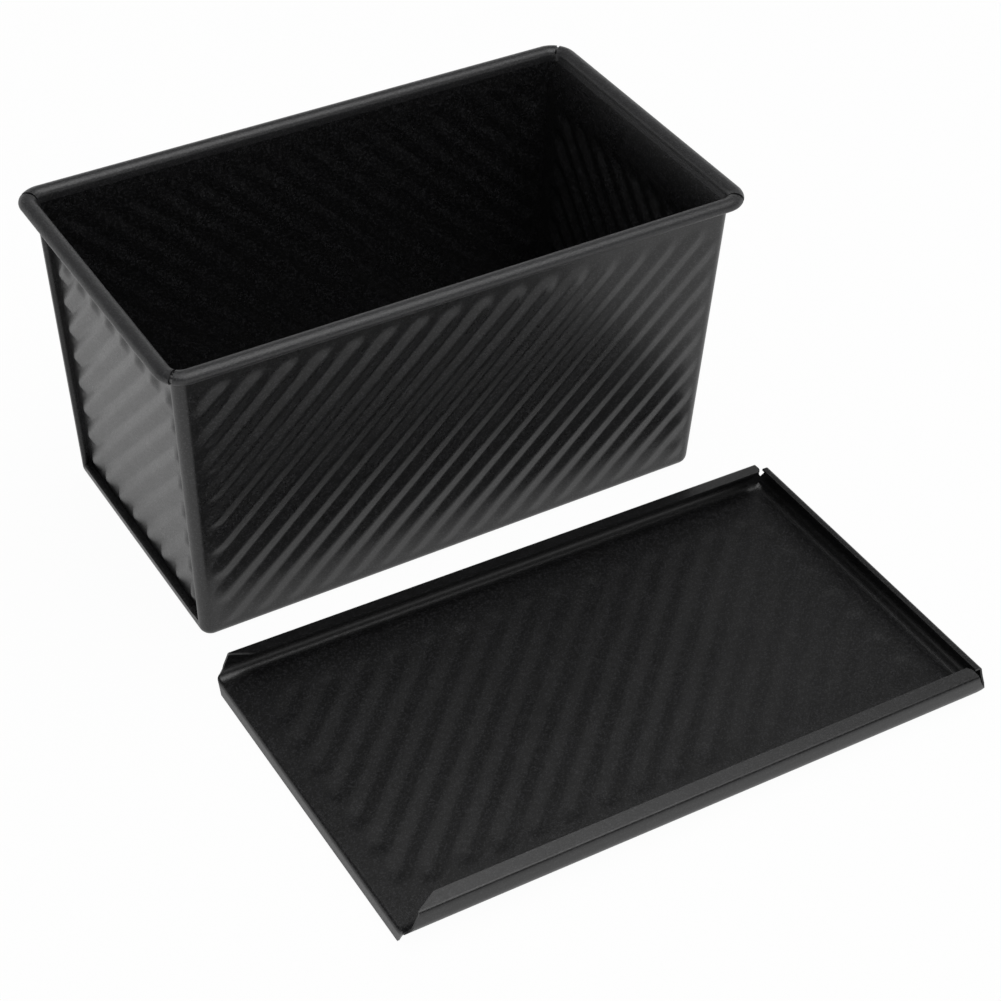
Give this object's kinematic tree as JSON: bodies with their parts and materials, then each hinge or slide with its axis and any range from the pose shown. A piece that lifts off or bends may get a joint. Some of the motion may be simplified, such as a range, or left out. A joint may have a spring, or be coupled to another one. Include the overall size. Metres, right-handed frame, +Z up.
{
  "type": "pullman loaf pan",
  "caption": "Straight-sided lidded loaf pan of ribbed non-stick steel sheet with a rolled rim; the flat lid with folded channels lies beside it.",
  "frame": {"origin": "centre of the pan's flat underside, on the surface it stands on", "axes": "+X along the pan towards the lid's closed end, +Y to the pan's back and away from the lid, +Z up"},
  "size_m": [0.2133, 0.2534, 0.112],
  "materials": {
    "pan_coating": "satin charcoal non-stick coating on steel sheet, with a fine metallic speckle",
    "lid_coating": "satin charcoal non-stick coating on steel sheet, with a fine metallic speckle",
    "wire_steel": "dark drawn steel wire"
  },
  "bodies": {
    "pan": {"pan_wrapper": "pan_coating", "left_end_panel": "pan_coating", "right_end_panel": "pan_coating", "rim_wire": "wire_steel"},
    "lid": {"lid": "lid_coating"}
  },
  "joints": [
    {"name": "lid_slide", "type": "slide", "parent": "pan", "child": "lid", "axis": [1, 0, 0], "range_m": [0, 0.21]}
  ]
}
